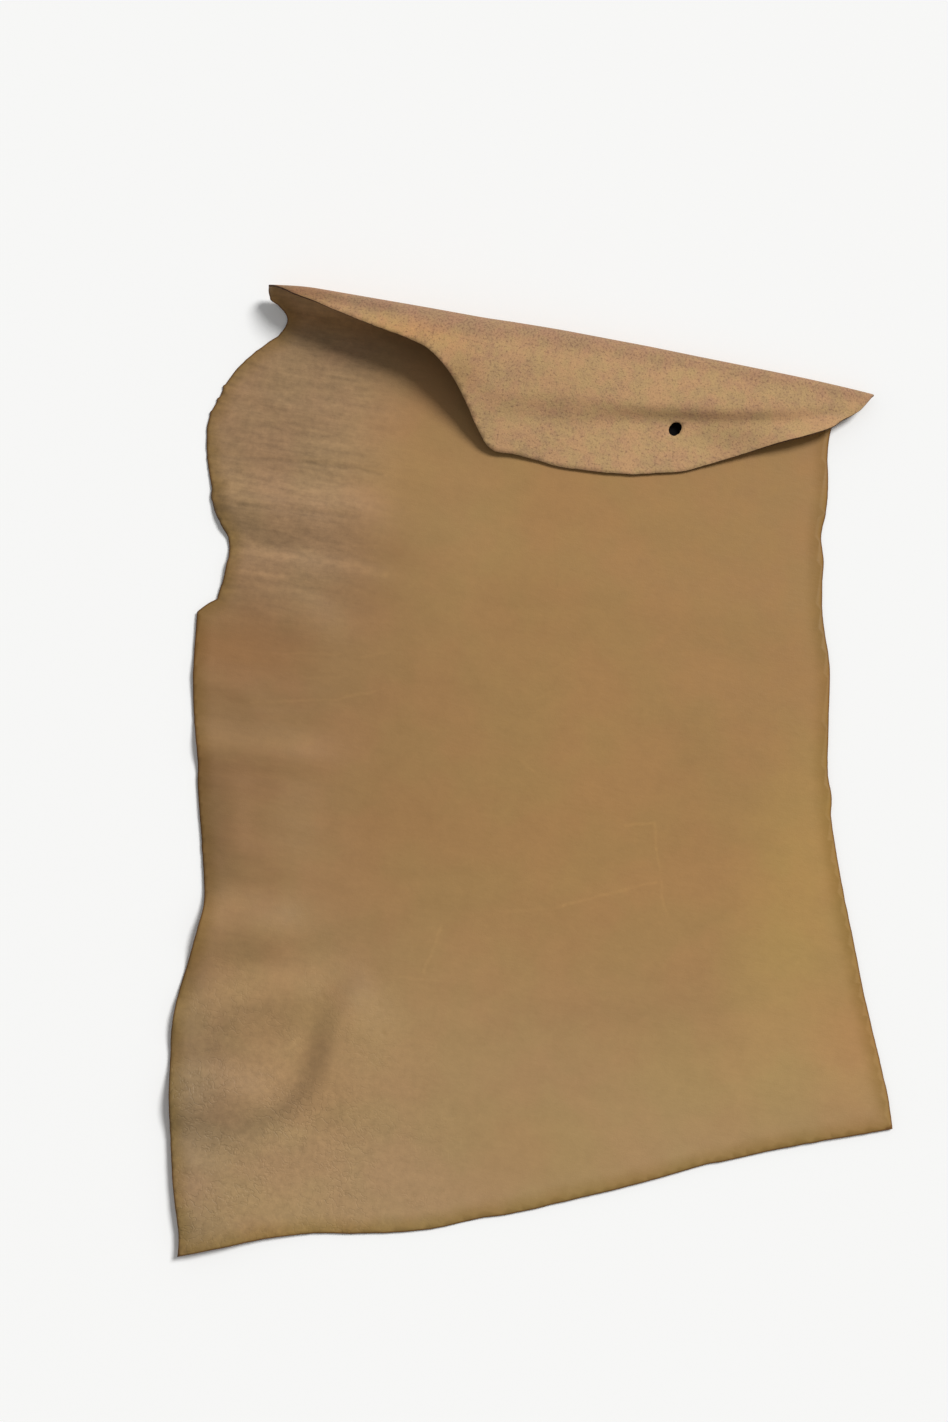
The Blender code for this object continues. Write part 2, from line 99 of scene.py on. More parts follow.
# The cut edge, side by side and anticlockwise. Each side is a smooth curve, and sides meet at corners. rough
# is how far the cut wanders from that curve.
Side = namedtuple("Side", "rough points")
SIDES = (
    # left side, from the flap's corner down to the notch
    Side(0.0003, ((-0.329, 0.008), (-0.330, -0.004), (-0.328, -0.013))),
    Side(0.0006, (
        (-0.328, -0.013), (-0.319, -0.018), (-0.310, -0.027), (-0.310, -0.036), (-0.315, -0.045),
        (-0.324, -0.054), (-0.342, -0.075), (-0.353, -0.095), (-0.360, -0.118), (-0.364, -0.136),
        (-0.362, -0.158), (-0.356, -0.179), (-0.349, -0.199),
    )),
    Side(0.0006, (
        (-0.349, -0.199), (-0.348, -0.208), (-0.335, -0.230), (-0.325, -0.243), (-0.322, -0.264),
        (-0.325, -0.299),
    )),
    Side(0.0003, ((-0.325, -0.299), (-0.333, -0.305), (-0.341, -0.314))),
    # left side, down to the lower corner
    Side(0.0003, (
        (-0.341, -0.314), (-0.334, -0.372), (-0.325, -0.413), (-0.316, -0.444), (-0.310, -0.475),
        (-0.289, -0.556), (-0.285, -0.580), (-0.288, -0.616), (-0.293, -0.660), (-0.292, -0.700),
        (-0.281, -0.763), (-0.266, -0.827), (-0.252, -0.872), (-0.250, -0.889),
    )),
    # lower edge
    Side(0.0003, (
        (-0.250, -0.889), (-0.211, -0.874), (-0.174, -0.860), (-0.132, -0.848), (-0.096, -0.842),
        (-0.036, -0.828), (0.012, -0.809), (0.037, -0.801), (0.089, -0.779), (0.149, -0.753),
        (0.203, -0.727), (0.217, -0.722), (0.274, -0.699), (0.363, -0.667),
    )),
    # right side, up to the point where the flap hides it and on round the fold's pointed end
    Side(0.0003, (
        (0.363, -0.667), (0.353, -0.635), (0.322, -0.560), (0.299, -0.499), (0.282, -0.454),
        (0.264, -0.399), (0.262, -0.382), (0.255, -0.361), (0.248, -0.313), (0.241, -0.263),
        (0.228, -0.221), (0.222, -0.187), (0.220, -0.166), (0.214, -0.144), (0.215, -0.123),
        (0.213, -0.098), (0.207, -0.060), (0.209, -0.036), (0.222, -0.018), (0.240, 0.000),
    )),
    # the flap's free edge, back to the left corner
    Side(0.0004, (
        (0.240, 0.000), (0.230, 0.018), (0.217, 0.032), (0.204, 0.046), (0.181, 0.062),
        (0.154, 0.077), (0.128, 0.092), (0.102, 0.107), (0.081, 0.119), (0.056, 0.128),
        (0.028, 0.136), (-0.017, 0.142), (-0.037, 0.144), (-0.057, 0.143), (-0.081, 0.142),
        (-0.098, 0.142), (-0.109, 0.134), (-0.132, 0.100), (-0.146, 0.082), (-0.161, 0.069),
        (-0.177, 0.060), (-0.235, 0.048), (-0.279, 0.038), (-0.302, 0.031), (-0.319, 0.018),
        (-0.329, 0.008),
    )),
)
ROUGH_LENGTHS = ((0.011, 0.6), (0.004, 0.4))  # (length over which a cut wanders, share of it)

# Small torn points on the left: place down the torn side, as a share of it, reach and half width
TORN_SIDE = 1  # counted from 0
TEARS = ((0.53, 0.0016, 0.0016), (0.56, 0.0011, 0.0014), (0.59, 0.0015, 0.0018), (0.66, 0.0018, 0.0018))

# Soft ridges that lift the body a little. Seen along the crest's route, left and right are how far the two
# slopes reach. rise and fall are the shares of the route over which the ridge starts and ends.
Ridge = namedtuple("Ridge", "left right height rise fall crest")
RIDGES = (
    # across the upper left side
    Ridge(0.034, 0.038, 0.0050, 0.1, 0.5, (
        (-0.350, -0.212), (-0.302, -0.209), (-0.265, -0.206), (-0.190, -0.201), (-0.150, -0.200),
    )),
    Ridge(0.018, 0.030, 0.0026, 0.1, 0.5, (
        (-0.345, -0.270), (-0.289, -0.260), (-0.234, -0.256), (-0.140, -0.257),
    )),
    Ridge(0.032, 0.042, 0.0020, 0.3, 0.5, (
        (-0.320, -0.284), (-0.262, -0.292), (-0.232, -0.307), (-0.190, -0.335),
    )),
    Ridge(0.026, 0.022, 0.0016, 0.1, 0.6, ((-0.350, -0.373), (-0.305, -0.377), (-0.250, -0.383))),
    Ridge(0.030, 0.026, 0.0038, 0.1, 0.6, (
        (-0.350, -0.441), (-0.303, -0.436), (-0.213, -0.427), (-0.150, -0.422),
    )),
    # down the middle of the left side, and across below it
    Ridge(0.110, 0.038, 0.0050, 0.3, 0.4, (
        (-0.288, -0.430), (-0.272, -0.470), (-0.260, -0.510), (-0.258, -0.570),
    )),
    Ridge(0.042, 0.040, 0.0062, 0.1, 0.6, (
        (-0.310, -0.607), (-0.253, -0.592), (-0.227, -0.588), (-0.200, -0.582), (-0.150, -0.575),
    )),
    # around the hollow on the lower left side
    Ridge(0.036, 0.044, 0.0044, 0.1, 0.4, (
        (-0.310, -0.690), (-0.262, -0.670), (-0.224, -0.655), (-0.190, -0.640), (-0.160, -0.626),
        (-0.110, -0.614),
    )),
    Ridge(0.038, 0.036, 0.0054, 0.1, 0.5, (
        (-0.320, -0.762), (-0.258, -0.748), (-0.222, -0.740), (-0.195, -0.728), (-0.172, -0.705),
    )),
    Ridge(0.080, 0.034, 0.0048, 0.4, 0.4, (
        (-0.118, -0.605), (-0.135, -0.640), (-0.144, -0.664), (-0.147, -0.690), (-0.156, -0.722),
        (-0.172, -0.755),
    )),
    # the raised lower left corner
    Ridge(0.160, 0.160, 0.0060, 0.3, 0.3, ((-0.400, -0.760), (-0.180, -0.980))),
)

# Finer ridges and creases of the grain side alone. A crease has a height below nothing.
FINE_RIDGES = (
    Ridge(0.014, 0.014, 0.0006, 0.2, 0.5, (
        (-0.350, -0.100), (-0.289, -0.112), (-0.240, -0.104), (-0.150, -0.110),
    )),
    Ridge(0.009, 0.009, 0.0004, 0.1, 0.5, (
        (-0.352, -0.201), (-0.300, -0.198), (-0.248, -0.193), (-0.180, -0.188),
    )),
    Ridge(0.005, 0.005, -0.0005, 0.1, 0.3, (
        (-0.372, -0.168), (-0.315, -0.163), (-0.287, -0.161), (-0.250, -0.158), (-0.170, -0.156),
    )),
    Ridge(0.005, 0.005, -0.0004, 0.1, 0.3, (
        (-0.345, -0.213), (-0.302, -0.209), (-0.265, -0.206), (-0.190, -0.200),
    )),
    Ridge(0.005, 0.005, -0.0003, 0.2, 0.3, (
        (-0.350, -0.199), (-0.343, -0.194), (-0.327, -0.175), (-0.320, -0.168),
    )),
    Ridge(0.005, 0.005, -0.0002, 0.2, 0.3, ((-0.338, -0.070), (-0.335, -0.090), (-0.330, -0.112))),
    Ridge(0.006, 0.006, -0.0003, 0.2, 0.5, (
        (-0.330, -0.383), (-0.277, -0.391), (-0.198, -0.374), (-0.160, -0.360),
    )),
)

# Soft waves: sizes along and across the hide, height, and seed
Wave = namedtuple("Wave", "along across height seed")
LEFT_WAVES = (Wave(0.110, 0.017, 0.00025, 3), Wave(0.042, 0.0095, 0.00016, 5))
CORNER_WAVES = (Wave(0.034, 0.013, 0.00016, 11), Wave(0.016, 0.020, 0.00010, 13))
WIDE_WAVES = (Wave(0.170, 0.085, 0.0012, 7), Wave(0.090, 0.150, 0.0008, 9))
RIDGE_WAVES = Wave(0.045, 0.060, 0.45, 17)  # here the height is the share by which they change a ridge
HOLE_WAVES = Wave(2.3, 1, 0.05, 21)  # the same for the hole's radius, and along counts its sides
LEFT_WAVES_END = (-0.30, UNEVEN_END)  # full strength left of the first x, none right of the second
CORNER = (-0.240, -0.830)  # middle of the wrinkled lower left corner
CORNER_REACH = 0.200
WIDE_WAVES_TOP = (-0.17, -0.24)  # no wide waves above the first y, full strength below the second

# Marks: half the width, the change of tone in the middle, and the route. The fine ones are on the grain side
# alone, and the broad ones also on the flap's flesh side.
Mark = namedtuple("Mark", "reach tone route")
FINE_MARKS_AND_CREASE_SHADE = (
    # scratches on the right
    Mark(0.0026, 0.12, ((0.081, -0.439), (0.106, -0.433), (0.112, -0.455))),
    Mark(0.0024, 0.07, ((0.112, -0.455), (0.119, -0.477), (0.127, -0.506), (0.136, -0.518))),
    Mark(0.0026, 0.10, ((0.117, -0.486), (0.068, -0.506), (0.037, -0.522))),
    Mark(0.0030, 0.05, ((0.037, -0.522), (-0.013, -0.536))),
    Mark(0.0026, 0.04, ((0.023, -0.404), (0.055, -0.411), (0.083, -0.412))),
    Mark(0.0024, 0.06, ((-0.026, -0.395), (-0.016, -0.402), (-0.010, -0.404))),
    Mark(0.0024, 0.06, ((-0.019, -0.339), (-0.008, -0.331))),
    Mark(0.0028, 0.09, ((-0.070, -0.558), (-0.071, -0.572), (-0.078, -0.602))),
    Mark(0.0024, 0.06, ((-0.098, -0.610), (-0.062, -0.608))),
    Mark(0.0026, -0.04, ((-0.031, -0.179), (-0.019, -0.233))),
    # fine lines on the left
    Mark(0.0024, 0.08, ((-0.277, -0.388), (-0.198, -0.371), (-0.161, -0.355))),
    Mark(0.0022, 0.06, ((-0.268, -0.340), (-0.202, -0.330))),
    Mark(0.0022, 0.05, ((-0.230, -0.357), (-0.198, -0.350))),
    Mark(0.0022, 0.05, ((-0.188, -0.331), (-0.162, -0.320))),
    Mark(0.0030, 0.05, ((-0.331, -0.079), (-0.289, -0.102))),
    # painted shade along the floors of creases, and lighter lines along their crests
    Mark(0.0030, -0.14, ((-0.364, -0.169), (-0.315, -0.163), (-0.250, -0.158), (-0.196, -0.157))),
    Mark(0.0030, -0.06, ((-0.328, -0.144), (-0.243, -0.145), (-0.201, -0.143))),
    Mark(0.0030, -0.12, ((-0.337, -0.212), (-0.302, -0.208), (-0.265, -0.205), (-0.210, -0.202))),
    Mark(0.0030, -0.12, ((-0.347, -0.199), (-0.327, -0.177))),
    Mark(0.0060, 0.13, ((-0.302, -0.244), (-0.289, -0.252), (-0.234, -0.247), (-0.177, -0.250))),
    Mark(0.0045, 0.17, ((-0.318, -0.272), (-0.300, -0.270), (-0.270, -0.268))),
    Mark(0.0035, 0.14, ((-0.319, -0.292), (-0.310, -0.290))),
    Mark(0.0035, -0.12, ((-0.318, -0.261), (-0.300, -0.260))),
)
# mostly painted light and shade, where slopes of the ridges, the hollow and the flap's turn face to or from
# the lamp
BROAD_MARKS_AND_PAINTED_LIGHT = (
    # painted light and shade across the upper left side
    Mark(0.022, 0.07, ((-0.325, -0.190), (-0.249, -0.185), (-0.194, -0.180))),
    Mark(0.009, 0.12, ((-0.334, -0.197), (-0.325, -0.195))),
    Mark(0.012, -0.15, ((-0.336, -0.214), (-0.318, -0.225), (-0.298, -0.231), (-0.269, -0.236))),
    Mark(0.014, -0.04, ((-0.263, -0.216), (-0.227, -0.231))),
    Mark(0.030, -0.07, ((-0.315, -0.295), (-0.260, -0.320))),
    # painted light and shade down the left side
    Mark(0.016, 0.06, ((-0.325, -0.430), (-0.265, -0.424), (-0.220, -0.420))),
    Mark(0.042, -0.19, ((-0.314, -0.470), (-0.298, -0.520), (-0.289, -0.560))),
    Mark(0.026, 0.10, ((-0.286, -0.580), (-0.262, -0.573))),
    Mark(0.028, -0.19, ((-0.305, -0.648), (-0.284, -0.640))),
    Mark(0.020, 0.06, ((-0.254, -0.654), (-0.219, -0.640), (-0.170, -0.622))),
    # painted shade along the rim of the hollow on the lower left side, darkest where it turns, and painted
    # light beside it
    Mark(0.018, -0.10, (
        (-0.139, -0.621), (-0.150, -0.648), (-0.156, -0.672), (-0.159, -0.700), (-0.168, -0.727),
        (-0.186, -0.751), (-0.215, -0.767), (-0.250, -0.775), (-0.282, -0.772),
    )),
    Mark(0.015, -0.10, ((-0.154, -0.690), (-0.165, -0.724), (-0.184, -0.750), (-0.208, -0.765))),
    Mark(0.012, 0.07, ((-0.173, -0.655), (-0.177, -0.688), (-0.187, -0.713))),
    Mark(0.013, 0.06, (
        (-0.262, -0.803), (-0.212, -0.794), (-0.172, -0.769), (-0.149, -0.738), (-0.138, -0.705),
    )),
    # painted shade in a ring inside the hollow
    Mark(0.013, -0.08, ((-0.252, -0.712), (-0.250, -0.686), (-0.238, -0.668), (-0.210, -0.658))),
    # painted shade along the flap's turn
    Mark(0.014, -0.22, ((-0.322, 0.021), (-0.280, 0.029), (-0.215, 0.031))),
    # on the right
    Mark(0.025, -0.03, ((-0.076, -0.247), (-0.002, -0.243), (0.080, -0.247), (0.216, -0.280))),
    Mark(0.025, -0.03, ((-0.007, -0.637), (0.092, -0.610), (0.192, -0.586))),
    Mark(0.022, -0.03, ((0.119, -0.328), (0.130, -0.373))),
)

# Stains, and patches of painted light and shade, soft all round and on the same sides as the broad marks: the
# middle, how far they reach along and across the hide, and the tint that they give
StainOrLight = namedtuple("StainOrLight", "middle along across tint")
STAINS_AND_PAINTED_LIGHT = (
    StainOrLight((-0.200, -0.135), 0.100, 0.110, (1.20, 1.20, 1.17)),
    StainOrLight((-0.110, -0.190), 0.080, 0.150, (1.03, 1.09, 1.10)),
    StainOrLight((-0.300, -0.340), 0.110, 0.060, (1.00, 0.94, 0.84)),
    StainOrLight((-0.280, -0.740), 0.090, 0.130, (0.78, 0.80, 0.88)),
    StainOrLight((-0.228, -0.780), 0.110, 0.090, (0.88, 0.89, 0.94)),
    StainOrLight((-0.270, -0.850), 0.070, 0.100, (0.97, 0.99, 1.10)),
    StainOrLight((-0.235, -0.870), 0.080, 0.060, (0.85, 0.86, 0.86)),
    StainOrLight((-0.145, -0.600), 0.080, 0.055, (0.94, 0.95, 0.96)),
    StainOrLight((0.250, -0.480), 0.090, 0.260, (1.12, 1.20, 1.07)),
    StainOrLight((0.330, -0.600), 0.080, 0.120, (1.12, 1.07, 0.99)),
    StainOrLight((0.200, -0.660), 0.170, 0.110, (1.06, 1.09, 1.03)),
    StainOrLight((0.060, -0.740), 0.150, 0.080, (1.00, 1.00, 0.92)),
    StainOrLight((-0.090, -0.800), 0.130, 0.080, (1.02, 1.03, 1.08)),
    StainOrLight((-0.050, -0.420), 0.110, 0.280, (0.96, 0.98, 1.00)),
    # painted light inside the bend's wide end, where the shade under the fold is made lighter
    StainOrLight((-0.268, -0.016), 0.120, 0.030, (1.50, 1.38, 1.18)),
    # on the flap: a darker patch on the right, painted light below the turn, painted shade at neck and curled
    # tip
    StainOrLight((0.118, 0.078), 0.070, 0.030, (0.80, 0.82, 0.80)),
    StainOrLight((-0.190, 0.050), 0.090, 0.022, (1.06, 0.98, 0.88)),
    StainOrLight((-0.142, 0.076), 0.036, 0.028, (0.86, 0.82, 0.79)),
    StainOrLight((-0.298, 0.026), 0.060, 0.030, (0.96, 0.86, 0.74)),
)
TINT_WAVES = Wave(0.030, 0.012, 0.25, 19)  # here the height is the share by which they change a broad mark

# Colours as linear light
GRAIN_LEFT = (0.270, 0.150, 0.062, 1)
GRAIN_GREY = (0.292, 0.177, 0.086, 1)
GRAIN_RIGHT = (0.344, 0.188, 0.062, 1)
GRAIN_LOW = (0.360, 0.226, 0.103, 1)
GRAIN_EDGE = (0.77, 0.74, 0.50)  # what is left of the colour at the cut edge
GRAIN_EDGE_REACH = 0.019
EDGE_LINE = (0.62, 0.50, 0.44)  # the same for the dark line right at the edge: partly the cut edge's darker colour, partly painted shadow
EDGE_LINE_REACH = 0.0016
GRAIN_PINK = (1.02, 0.99, 1.00, 1)  # two casts that alternate in soft clouds
GRAIN_OLIVE = (0.985, 1.007, 0.985, 1)
FLESH_TAN = (0.512, 0.318, 0.152, 1)
FLESH_BROWN = (0.425, 0.255, 0.138, 1)
FLESH_PINK = (1.035, 0.98, 1.00, 1)
FLESH_OLIVE = (0.975, 1.013, 0.97, 1)
FLESH_DARK = (0.120, 0.060, 0.045, 1)
CUT_DARK = (0.045, 0.020, 0.010, 1)
CUT_LIGHT = (0.130, 0.065, 0.032, 1)
FLOOR = (0.93, 0.93, 0.92, 1)

# Where the grain side's colour changes: no change at the first place, all of it at the second
GREY_ACROSS = (-0.16, -0.26)  # to the grey of the upper left side, along x
GREY_DOWN = (-0.34, -0.24)  # the same along y
TO_RIGHT = (-0.30, -0.02)  # from the left's colour to the right's, along x
TO_LOW = (-0.44, -0.80)  # to the lower part's colour, along y
CORNER_LOOSE = (0.300, 0.060)  # distances from the corner's middle between which its grain gets loose
PAINTED_SHADE_UNDER_HOLE = (0.0643, -0.0686)  # where the body is painted dark below the hole in the flap: painted shade, so that the hole looks black
PAINTED_SHADE_UNDER_HOLE_REACH = (0.011, 0.017)  # the painted shade is full within the first distance and ends at the second
EDGE_LINE_FULL = 0.0003  # the edge line is full within this distance of the cut edge
EDGE_UNEVEN = 0.008  # how much the browner edge's reach differs from place to place

# Noises. scale is how many of their features lie along a metre, and tone is how much they change the
# brightness, if that is the same all over. A streak has sizes along and across the hide instead.
Noise = namedtuple("Noise", "scale detail roughness tone", defaults=(0,))
Streak = namedtuple("Streak", "along across detail roughness tone", defaults=(0,))
CLOUDS = Noise(5, 2, 0.5, 0.08)
MOTTLE = Noise(45, 4, 0.6, 0.16)
GRAINS = Noise(150, 3, 0.7)
PORES = Noise(900, 2, 0.5, 0.06)
BANDS = Streak(0.200, 0.037, 3, 0.5, 0.08)
STREAKS = Streak(0.125, 0.0167, 4, 0.6)
FINE_STREAKS = Streak(0.0294, 0.0059, 3, 0.65)
WRINKLES = Streak(0.0091, 0.0038, 3, 0.6)
VEINS = Noise(95, 2, 0.6, -0.05)
VEIN_PATCHES = Noise(22, 2, 0.5)
MARK_GAPS = Noise(70, 2, 0.5)
GRAIN_CASTS = Noise(16, 2, 0.5)
PEBBLES = 1000  # along a metre
FLESH_CLOUDS = Noise(26, 3, 0.6)
FLESH_MOTTLE = Noise(150, 4, 0.7)
FLESH_CASTS = Noise(60, 2, 0.5)
SPECKS = Noise(460, 3, 0.7)
NAP = Noise(130, 4, 0.6)
FIBRES = Noise(900, 3, 0.6, 0.30)
CUT_FIBRES = Noise(600, 4, 0.7)

# Strengths that aren't the same all over: ranges along x with the strengths there, and what is added on the
# upper left side and in the lower left corner
STREAK_TONES = (-0.10, -0.30, 0.02, 0.16)
FINE_STREAK_TONES = (-0.10, -0.26, 0.04, 0.14)
FINE_STREAKS_UPPER_LEFT = 0.55
GRAINS_TONE = 0.12
GRAINS_UPPER_LEFT = 0.50
GRAINS_CORNER = 0.50

# A noise's values from none to all, and what they become where that isn't 0 to 1
VEIN_PATCH_RANGE = (0.38, 0.60, 0.15, 1)
MARK_GAP_RANGE = (0.35, 0.60, 0.30, 1)
GRAIN_CAST_RANGE = (0.36, 0.64)
FLESH_CAST_RANGE = (0.38, 0.62)
GRAIN_ROUGHNESS = (0.3, 0.7, 0.50, 0.60)
SPECK_RANGE = (0.57, 0.73)
BROWN_RANGE = (1.0, 1.6)
CUT_RANGE = (0.35, 0.70)
VEIN_WIDTH = 0.045  # how far the winding noise is from its middle value at a vein's side

# How unevenly lines run: features of the unevenness along a metre, and its size
VEIN_SHAKE = (90, 0.004)
MARK_SHAKE = (60, 0.005)

# The flesh side: shares of its noises in the brown, and the darker, browner band along the fold, which is
# painted shade. The band's ends are distances past the top of the bend, and the far one grows along x.
BROWN_CLOUDS = 1.1
BROWN_MOTTLE = 1.3
FOLD_SHADE_BROWN = 0.35
BAND_END = (-0.24, -0.12, 0.002, 0.014)
BAND_FULL = -0.012
FOLD_SHADE_DARK = 0.25
FIBRES_DARKEST = 0.86  # the brightness where the fibres' noise is 0
SPECK_DARK = 0.48
SPECKS_IN_CLOUDS = 0.12
SPECKS_IN_BAND = 0.05
TINTED_FLESH = (-0.02, 0.0)  # along y, where stains, painted light and shade and broad marks start to show on the flesh side

# Heights of the bumps
WRINKLE_BUMP = 0.00012
VEIN_BUMP = -0.0002
PEBBLE_BUMP = 0.00004
NAP_BUMP = 0.0005
FIBRE_BUMP = 0.0003
CUT_BUMP = 0.0004

FLOOR_HALF = 4.0
FLOOR_DROP = 0.0003  # the floor lies this far under the hide

# The camera stands almost straight above the hide, a little turned
CAMERA_PLACE = (-0.0464, -0.0699, 1.8084)
CAMERA_TILT = math.radians(4.94)
CAMERA_TURN = math.radians(10)
LENS = 50
SENSOR = 36

# Soft studio light: a wide lamp far off beyond the hide's upper right, and a weaker light all round
KEY_TURN = math.radians(50)
KEY_HEIGHT = math.radians(46)
KEY_WIDTH = math.radians(20)
KEY_STRENGTH = 2.9
FILL = 0.335


# ---------------------------------------------------------------- shape


def curve_slopes(knots, values):
    """Slopes at the knots of a smooth curve that never overshoots. The last axis runs over the knots."""
    gaps = np.diff(knots)
    steps = np.diff(values) / gaps
    before, after = steps[..., :-1], steps[..., 1:]
    weight_before = 2 * gaps[..., 1:] + gaps[..., :-1]
    weight_after = gaps[..., 1:] + 2 * gaps[..., :-1]
    same_way = before * after > 0
    safe_before = np.where(same_way, before, 1)
    safe_after = np.where(same_way, after, 1)
    mean = (weight_before + weight_after) / (weight_before / safe_before + weight_after / safe_after)
    return np.concatenate([steps[..., :1], np.where(same_way, mean, 0), steps[..., -1:]], axis=-1)


def read_curve(knots, values, slopes, places):
    """(value, slope) at places of the curves through knots. Every table has one row for each curve."""
    span = (places[..., None] >= knots[:, None, 1:-1]).sum(axis=-1)

    def at_span(table, offset):
        return np.take_along_axis(table, span + offset, axis=1)

    low, high = at_span(knots, 0), at_span(knots, 1)
    width = high - low
    t = (places - low) / width
    value_low, value_high = at_span(values, 0), at_span(values, 1)
    slope_low, slope_high = at_span(slopes, 0) * width, at_span(slopes, 1) * width
    value = (
        (1 + 2 * t) * (1 - t) ** 2 * value_low
        + t * (1 - t) ** 2 * slope_low
        + t**2 * (3 - 2 * t) * value_high
        + t**2 * (t - 1) * slope_high
    )
    slope = (
        6 * t * (1 - t) * (value_high - value_low)
        + (1 - t) * (1 - 3 * t) * slope_low
        + t * (3 * t - 2) * slope_high
    ) / width
    return value, slope


def unit(vectors):
    return vectors / np.linalg.norm(vectors, axis=1)[:, None]


def way_along(points):
    """How far along the line through the points each of them is."""
    return np.concatenate([[0], np.cumsum(np.linalg.norm(np.diff(points, axis=0), axis=1))])


def continued(row):
    """A row of points or numbers with one more at each end, a step further on."""
    return np.concatenate([[2 * row[0] - row[1]], row, [2 * row[-1] - row[-2]]])


def smooth_curve(points, count):
    """Close points along a smooth curve through the given ones, a count of them for each."""
    points = np.array(points)
    knots = way_along(points)
    padded, spread = continued(points), continued(knots)
    slopes = (padded[2:] - padded[:-2]) / (spread[2:] - spread[:-2])[:, None]
    places = np.linspace(0, knots[-1], count * len(points))
    return read_curve(np.tile(knots, (2, 1)), points.T, slopes.T, np.tile(places, (2, 1)))[0].T


def along_fold(x):
    """At places x: where the bend starts, its radius, and the distances and heights of the flap's profile."""
    stations = np.array([[s.x, s.outer, s.radius, *s.shoulder, *s.foot, *s.lower, *s.edge] for s in FOLD])
    places = np.clip(x, stations[0, 0], stations[-1, 0])[None]
    knots = stations[None, :, 0]
    columns = []
    for column in stations.T[1:]:
        values = column[None]
        columns.append(read_curve(knots, values, curve_slopes(knots, values), places)[0][0])
    outer, radius = columns[:2]
    return outer - LAYER_MIDDLE - radius, radius, np.array(columns[2::2]).T, np.array(columns[3::2]).T


def flap_profile(radius, distances, heights, past_top):
    """(height, way gone back) of the flap's middle layer at a distance past the top of the bend."""
    top = LAYER_MIDDLE + 2 * radius
    knots = np.column_stack([np.zeros_like(top), distances])
    values = np.column_stack([top, heights])
    slopes = curve_slopes(knots, values)
    slopes[:, 0] = 0  # level where it leaves the bend
    height = read_curve(knots, values, slopes, past_top[:, None])[0][:, 0]
    middles = (np.arange(PROFILE_PIECES) + 0.5) / PROFILE_PIECES
    steepness = read_curve(knots, values, slopes, past_top[:, None] * middles)[1]
    back = np.sqrt(1 - np.clip(steepness, -STEEPEST, STEEPEST) ** 2).mean(axis=1) * past_top
    return height, back


def soft_step(distance, reach):
    """1 at no distance, falling smoothly to 0 at the reach."""
    return 0.5 + 0.5 * np.cos(math.pi * np.clip(distance / reach, 0, 1))


def beside(points, route):
    """How far points lie from a route, which lie on its left, and how far along it the nearest place is."""
    gone = way_along(route)
    gone /= gone[-1]
    distance = np.full(len(points), np.inf)
    on_left = np.zeros(len(points), bool)
    place = np.zeros(len(points))
    for start, end, share_start, share_end in zip(route, route[1:], gone, gone[1:]):
        way = end - start
        offset = points - start
        share = np.clip(offset @ way / (way @ way), 0, 1)
        leg_distance = np.linalg.norm(offset - share[:, None] * way, axis=1)
        nearer = leg_distance < distance
        distance = np.where(nearer, leg_distance, distance)
        on_left = np.where(nearer, way[0] * offset[:, 1] > way[1] * offset[:, 0], on_left)
        place = np.where(nearer, share_start + share * (share_end - share_start), place)
    return distance, on_left, place


def lift_of(ridges, points):
    """How far ridges lift points of the flat drawing."""
    lift = np.zeros(len(points))
    for ridge in ridges:
        route = smooth_curve(ridge.crest, ROUTE_DETAIL)
        widest = max(ridge.left, ridge.right)
        near = (points > route.min(axis=0) - widest) & (points < route.max(axis=0) + widest)
        near = near.all(axis=1)
        distance, on_left, place = beside(points[near], route)
        ends = soft_step(np.maximum(ridge.rise - place, 0), ridge.rise)
        ends *= soft_step(np.maximum(ridge.fall - (1 - place), 0), ridge.fall)
        lift[near] += ridge.height * ends * soft_step(distance, np.where(on_left, ridge.left, ridge.right))
    return lift


def soft_noise(x, y, wave):
    """The smooth random heights of a wave at places x, y, on both sides of 0."""
    lattice = np.random.default_rng(wave.seed).uniform(-1, 1, (NOISE_CELLS, NOISE_CELLS))
    u, v = x / wave.along, y / wave.across
    column, row = np.floor(u).astype(int), np.floor(v).astype(int)
    s, t = u - column, v - row
    s, t = s**3 * (s * (6 * s - 15) + 10), t**3 * (t * (6 * t - 15) + 10)

    def corner(right, up):
        return lattice[(column + right) % NOISE_CELLS, (row + up) % NOISE_CELLS]

    low = corner(0, 0) * (1 - s) + corner(1, 0) * s
    high = corner(0, 1) * (1 - s) + corner(1, 1) * s
    return wave.height * (low * (1 - t) + high * t)


def way_between(value, none, full):
    """value's way from none to full, from 0 to 1."""
    return soft_step(np.clip((value - full) / (none - full), 0, 1), 1)


def relief(flat):
    """How far the soft ridges and the wide waves lift the body."""
    x, y = flat.T
    lift = lift_of(RIDGES, flat) * (1 + soft_noise(x, y, RIDGE_WAVES))
    waves = sum((wave.height + soft_noise(x, y, wave)) / 2 for wave in WIDE_WAVES)
    return lift + waves * way_between(y, *WIDE_WAVES_TOP)


def folded(flat):
    """Where points (x, y) of the flat drawing lie once the hide is folded: the middle of its thickness."""
    x, y = flat[:, 0], flat[:, 1]
    start, radius, distances, heights = along_fold(x)
    past_start = np.maximum(y - start, 0)
    turn = np.minimum(past_start / radius, math.pi)
    past_top = np.maximum(past_start - math.pi * radius, 0)
    flap_height, back = flap_profile(radius, distances, heights, past_top)
    on_bend = LAYER_MIDDLE + radius * (1 - np.cos(turn))
    z = np.where(past_top > 0, flap_height, on_bend) + np.where(y < start, relief(flat), 0)
    way = np.minimum(y, start) + radius * np.sin(turn) - back
    return np.column_stack([x - BOX_MIDDLE[0], way - BOX_MIDDLE[1], z])


